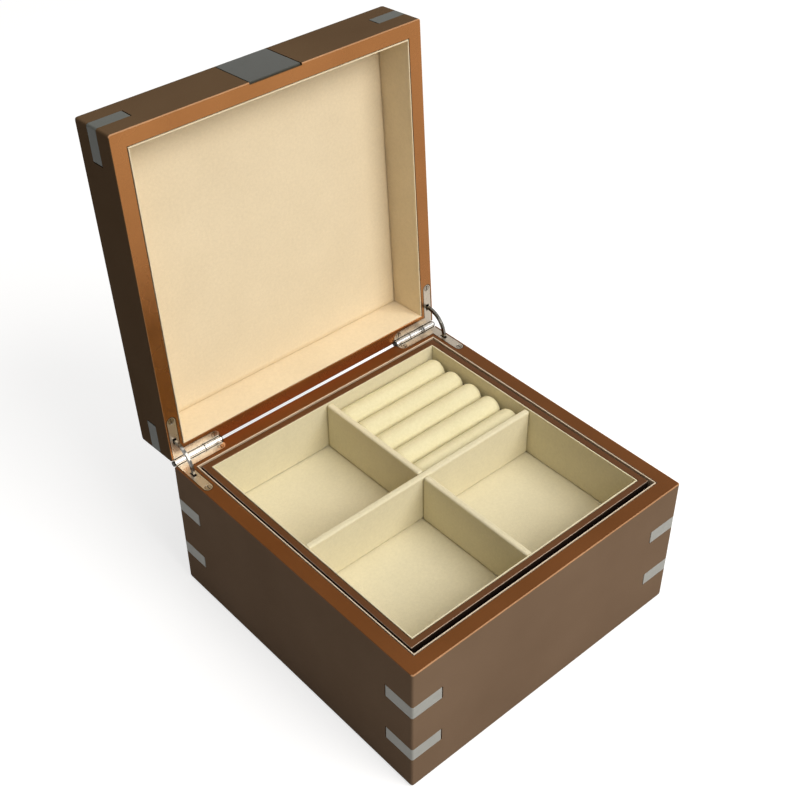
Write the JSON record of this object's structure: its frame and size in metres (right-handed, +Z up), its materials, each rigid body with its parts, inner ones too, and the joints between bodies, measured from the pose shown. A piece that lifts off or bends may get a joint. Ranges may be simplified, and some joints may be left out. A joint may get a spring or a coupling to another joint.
{
  "type": "jewelry box",
  "caption": "Square wooden jewelry box, open, with a hinged lid on curved-arm hinges, a lift-out velvet-lined tray with compartments and ring rolls, and metal corner keys.",
  "frame": {"origin": "centre of the flat underside of the base, on the surface it stands on", "axes": "+Z up, front towards -Y, hinges at the back, +X to the right as seen from the front"},
  "size_m": [0.22, 0.2719, 0.3203],
  "materials": {
    "lacquered_wood": "satin metallic brown lacquer",
    "tray_wood": "satin red-brown lacquer",
    "pad_velvet": "short pile",
    "lining_velvet": "short pile",
    "divider_velvet": "short pile over board",
    "ledge_velvet": "short pile over board",
    "ring_velvet": "short pile over foam",
    "hinge_metal": "polished nickel",
    "stay_metal": "polished nickel",
    "screw_metal": "polished nickel",
    "key_metal": "grey satin",
    "plate_metal": "dark grey satin"
  },
  "bodies": {
    "base": {"base_back_wall": "lacquered_wood", "base_bottom_panel": "lacquered_wood", "base_floor_pad": "pad_velvet", "base_front_wall": "lacquered_wood", "base_key_front_left_lower": "key_metal", "base_key_front_left_upper": "key_metal", "base_key_front_right_lower": "key_metal", "base_key_front_right_upper": "key_metal", "base_key_rear_left_lower": "key_metal", "base_key_rear_left_upper": "key_metal", "base_key_rear_right_lower": "key_metal", "base_key_rear_right_upper": "key_metal", "base_left_wall": "lacquered_wood", "base_lining": "lining_velvet", "base_right_wall": "lacquered_wood", "hinge_left_base_leaf": "hinge_metal", "hinge_left_base_leaf_screw_long": "screw_metal", "hinge_left_base_leaf_screw_short": "screw_metal", "hinge_left_pin": "hinge_metal", "hinge_right_base_leaf": "hinge_metal", "hinge_right_base_leaf_screw_long": "screw_metal", "hinge_right_base_leaf_screw_short": "screw_metal", "hinge_right_pin": "hinge_metal", "tray_ledge_left": "ledge_velvet", "tray_ledge_right": "ledge_velvet"},
    "lid": {"hinge_left_lid_leaf": "hinge_metal", "hinge_left_lid_leaf_screw_long": "screw_metal", "hinge_left_lid_leaf_screw_short": "screw_metal", "hinge_right_lid_leaf": "hinge_metal", "hinge_right_lid_leaf_screw_long": "screw_metal", "hinge_right_lid_leaf_screw_short": "screw_metal", "lid_back_wall": "lacquered_wood", "lid_front_plate": "plate_metal", "lid_front_wall": "lacquered_wood", "lid_key_front_left": "key_metal", "lid_key_front_right": "key_metal", "lid_key_rear_left": "key_metal", "lid_key_rear_right": "key_metal", "lid_left_wall": "lacquered_wood", "lid_lining": "lining_velvet", "lid_right_wall": "lacquered_wood", "lid_top_pad": "pad_velvet", "lid_top_panel": "lacquered_wood"},
    "tray": {"ring_roll_1": "ring_velvet", "ring_roll_2": "ring_velvet", "ring_roll_3": "ring_velvet", "ring_roll_4": "ring_velvet", "ring_roll_5": "ring_velvet", "ring_roll_bed": "ring_velvet", "tray_back_wall": "tray_wood", "tray_bottom": "tray_wood", "tray_divider_across": "divider_velvet", "tray_divider_along": "divider_velvet", "tray_floor_velvet": "lining_velvet", "tray_front_wall": "tray_wood", "tray_left_wall": "tray_wood", "tray_lining": "lining_velvet", "tray_right_wall": "tray_wood"},
    "stay_left": {"hinge_left_stay": "stay_metal"},
    "stay_right": {"hinge_right_stay": "stay_metal"}
  },
  "joints": [
    {"name": "lid_hinge", "type": "hinge", "parent": "base", "child": "lid", "pos_m": [0, 0.1104, 0.10045], "axis": [-1, 0, 0], "range_deg": [-94, 0]},
    {"name": "stay_left_turn", "type": "hinge", "parent": "base", "child": "stay_left", "pos_m": [0, 0.1104, 0.10045], "axis": [-1, 0, 0], "range_deg": [-47, 0]},
    {"name": "stay_right_turn", "type": "hinge", "parent": "base", "child": "stay_right", "pos_m": [0, 0.1104, 0.10045], "axis": [-1, 0, 0], "range_deg": [-47, 0]},
    {"name": "tray_lift", "type": "slide", "parent": "base", "child": "tray", "axis": [0, 0, 1], "range_m": [0, 0.085]}
  ],
  "couplings": [
    {"joint": "stay_left_turn", "follows": "lid_hinge", "ratio": 0.5},
    {"joint": "stay_right_turn", "follows": "lid_hinge", "ratio": 0.5}
  ]
}
